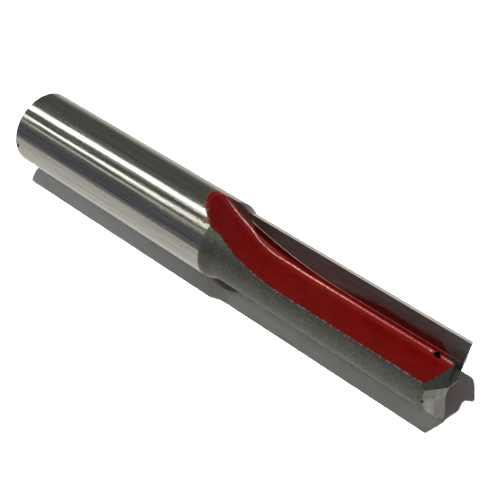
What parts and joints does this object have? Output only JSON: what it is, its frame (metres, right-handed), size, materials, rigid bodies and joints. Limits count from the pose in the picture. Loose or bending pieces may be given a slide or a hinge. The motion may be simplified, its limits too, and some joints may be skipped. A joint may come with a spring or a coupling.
{
  "type": "router bit",
  "caption": "Straight router bit: a cylindrical shank steps down to a fluted steel body that carries brazed carbide blades with ground ends.",
  "frame": {"origin": "middle of the flat shank end, which is the lowest point of the bit as it stands", "axes": "+Z along the bit's axis from the shank to the cutting end; the cutting edges lie in the YZ plane, one at -Y and one at +Y; seen from the cutting end the bit turns counter-clockwise"},
  "size_m": [0.0126, 0.0126, 0.0846],
  "materials": {
    "steel": "polished shank; matte blasted cutting part with dark red paint in the flutes",
    "carbide": "ground, dark grey face and light ground lands"
  },
  "bodies": {
    "root": {"steel_body": "steel", "carbide_blade_1": "carbide", "carbide_blade_2": "carbide"}
  },
  "joints": []
}
